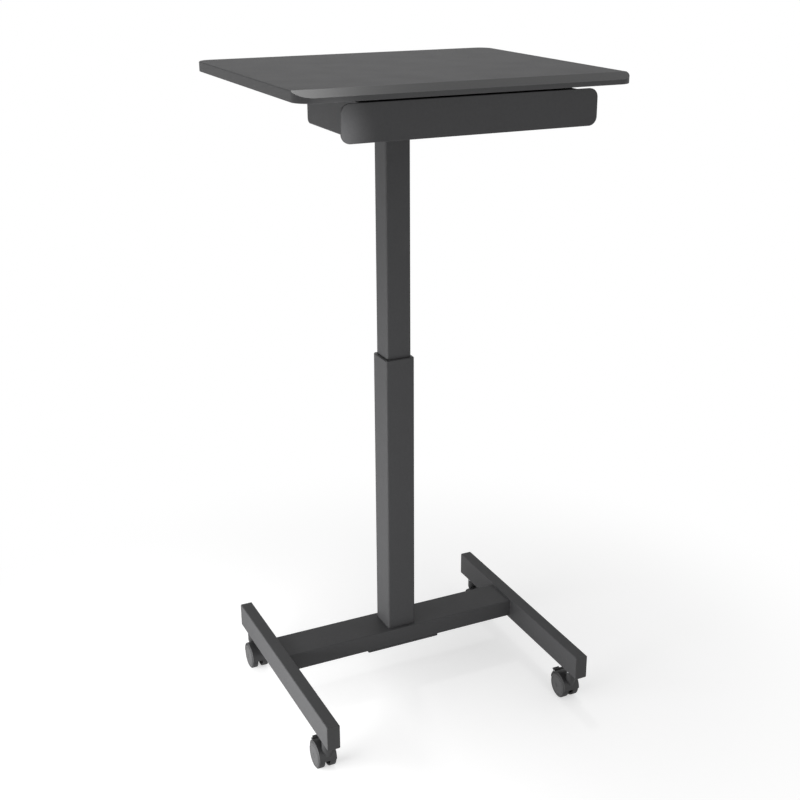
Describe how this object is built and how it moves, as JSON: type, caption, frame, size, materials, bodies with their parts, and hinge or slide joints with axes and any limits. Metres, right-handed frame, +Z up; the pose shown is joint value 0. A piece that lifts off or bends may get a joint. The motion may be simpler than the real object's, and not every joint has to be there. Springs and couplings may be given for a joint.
{
  "type": "rolling laptop table",
  "caption": "Small rolling laptop table: bevelled board top on a telescopic gas-spring column, with a slide-out drawer under the top and an H-shaped base on braked casters.",
  "frame": {"origin": "on the floor under the middle of the tabletop, with the table at its highest position", "axes": "+X to the user's right, -Y towards the user and the drawer front, +Z up"},
  "size_m": [0.6, 0.52, 1.241],
  "materials": {
    "black_powder_coat": "matte",
    "black_board": "matte",
    "black_nylon": "satin",
    "wheel_nylon": "satin",
    "zinc_steel": "satin",
    "chromed_rod": "polished"
  },
  "bodies": {
    "base": {"crossbeam": "black_powder_coat", "left_leg": "black_powder_coat", "right_leg": "black_powder_coat", "leg_end_caps": "black_nylon", "column_foot_plate": "black_powder_coat", "foot_bolts": "zinc_steel", "foot_nuts": "zinc_steel", "outer_tube": "black_powder_coat", "upper_bush": "black_nylon", "gas_spring_cylinder": "black_powder_coat", "gas_spring_guide": "black_nylon", "gas_spring_foot_nut": "zinc_steel", "caster_nuts": "zinc_steel", "caster_stems": "zinc_steel", "stem_snap_rings": "zinc_steel"},
    "lift": {"inner_tube": "black_powder_coat", "lower_glide": "black_nylon", "gas_spring_rod": "chromed_rod", "gas_spring_piston": "black_nylon", "rod_nuts": "zinc_steel", "head_plate": "black_powder_coat", "head_bolts": "zinc_steel", "head_nuts": "zinc_steel", "head_bracket": "black_powder_coat", "lever_clevis": "black_powder_coat", "lever_pivot_pin": "zinc_steel", "tabletop": "black_board", "bracket_screws": "zinc_steel", "left_drawer_runner": "black_powder_coat", "right_drawer_runner": "black_powder_coat", "runner_screws": "zinc_steel"},
    "lever": {"release_lever": "black_powder_coat", "lever_grip": "black_nylon"},
    "valve_pin": {"release_pin": "zinc_steel"},
    "drawer": {"drawer_tray": "black_powder_coat", "drawer_front": "black_powder_coat", "drawer_front_screws": "zinc_steel", "left_drawer_glide": "black_nylon", "right_drawer_glide": "black_nylon"},
    "front_left_swivel": {"front_left_caster_housing": "black_nylon", "front_left_caster_axle": "zinc_steel", "front_left_pedal_pin": "zinc_steel"},
    "front_left_outer_roller": {"front_left_outer_wheel": "wheel_nylon"},
    "front_left_inner_roller": {"front_left_inner_wheel": "wheel_nylon"},
    "front_left_pedal": {"front_left_brake_pedal": "black_nylon"},
    "front_right_swivel": {"front_right_caster_housing": "black_nylon", "front_right_caster_axle": "zinc_steel", "front_right_pedal_pin": "zinc_steel"},
    "front_right_outer_roller": {"front_right_outer_wheel": "wheel_nylon"},
    "front_right_inner_roller": {"front_right_inner_wheel": "wheel_nylon"},
    "front_right_pedal": {"front_right_brake_pedal": "black_nylon"},
    "rear_left_swivel": {"rear_left_caster_housing": "black_nylon", "rear_left_caster_axle": "zinc_steel"},
    "rear_left_outer_roller": {"rear_left_outer_wheel": "wheel_nylon"},
    "rear_left_inner_roller": {"rear_left_inner_wheel": "wheel_nylon"},
    "rear_right_swivel": {"rear_right_caster_housing": "black_nylon", "rear_right_caster_axle": "zinc_steel"},
    "rear_right_outer_roller": {"rear_right_outer_wheel": "wheel_nylon"},
    "rear_right_inner_roller": {"rear_right_inner_wheel": "wheel_nylon"}
  },
  "joints": [
    {"name": "lift_slide", "type": "slide", "parent": "base", "child": "lift", "axis": [0, 0, 1], "range_m": [-0.474, 0]},
    {"name": "lever_hinge", "type": "hinge", "parent": "lift", "child": "lever", "pos_m": [0.035, 0.06, 1.205], "axis": [0, -1, 0], "range_deg": [0, 5], "stiffness_Nm_per_rad": 1.5, "springref_deg": -8.59},
    {"name": "valve_pin_slide", "type": "slide", "parent": "lift", "child": "valve_pin", "axis": [0, 0, -1], "range_m": [0, 0.0031]},
    {"name": "drawer_slide", "type": "slide", "parent": "lift", "child": "drawer", "axis": [0, -1, 0], "range_m": [0, 0.17]},
    {"name": "front_left_swivel_turn", "type": "hinge", "parent": "base", "child": "front_left_swivel", "pos_m": [-0.264, -0.208, 0.0695], "axis": [0, 0, 1], "continuous": true},
    {"name": "front_left_outer_roll", "type": "hinge", "parent": "front_left_swivel", "child": "front_left_outer_roller", "pos_m": [-0.264, -0.186, 0.0255], "axis": [1, 0, 0], "continuous": true},
    {"name": "front_left_inner_roll", "type": "hinge", "parent": "front_left_swivel", "child": "front_left_inner_roller", "pos_m": [-0.264, -0.186, 0.0255], "axis": [1, 0, 0], "continuous": true},
    {"name": "front_left_pedal_hinge", "type": "hinge", "parent": "front_left_swivel", "child": "front_left_pedal", "pos_m": [-0.264, -0.16802, 0.04851], "axis": [1, 0, 0], "range_deg": [0, 14]},
    {"name": "front_right_swivel_turn", "type": "hinge", "parent": "base", "child": "front_right_swivel", "pos_m": [0.264, -0.208, 0.0695], "axis": [0, 0, 1], "continuous": true},
    {"name": "front_right_outer_roll", "type": "hinge", "parent": "front_right_swivel", "child": "front_right_outer_roller", "pos_m": [0.264, -0.186, 0.0255], "axis": [1, 0, 0], "continuous": true},
    {"name": "front_right_inner_roll", "type": "hinge", "parent": "front_right_swivel", "child": "front_right_inner_roller", "pos_m": [0.264, -0.186, 0.0255], "axis": [1, 0, 0], "continuous": true},
    {"name": "front_right_pedal_hinge", "type": "hinge", "parent": "front_right_swivel", "child": "front_right_pedal", "pos_m": [0.264, -0.16802, 0.04851], "axis": [1, 0, 0], "range_deg": [0, 14]},
    {"name": "rear_left_swivel_turn", "type": "hinge", "parent": "base", "child": "rear_left_swivel", "pos_m": [-0.264, 0.212, 0.0695], "axis": [0, 0, 1], "continuous": true},
    {"name": "rear_left_outer_roll", "type": "hinge", "parent": "rear_left_swivel", "child": "rear_left_outer_roller", "pos_m": [-0.264, 0.19, 0.0255], "axis": [1, 0, 0], "continuous": true},
    {"name": "rear_left_inner_roll", "type": "hinge", "parent": "rear_left_swivel", "child": "rear_left_inner_roller", "pos_m": [-0.264, 0.19, 0.0255], "axis": [1, 0, 0], "continuous": true},
    {"name": "rear_right_swivel_turn", "type": "hinge", "parent": "base", "child": "rear_right_swivel", "pos_m": [0.264, 0.212, 0.0695], "axis": [0, 0, 1], "continuous": true},
    {"name": "rear_right_outer_roll", "type": "hinge", "parent": "rear_right_swivel", "child": "rear_right_outer_roller", "pos_m": [0.264, 0.19, 0.0255], "axis": [1, 0, 0], "continuous": true},
    {"name": "rear_right_inner_roll", "type": "hinge", "parent": "rear_right_swivel", "child": "rear_right_inner_roller", "pos_m": [0.264, 0.19, 0.0255], "axis": [1, 0, 0], "continuous": true}
  ],
  "couplings": [
    {"joint": "valve_pin_slide", "follows": "lever_hinge", "m_per_rad": 0.035}
  ]
}
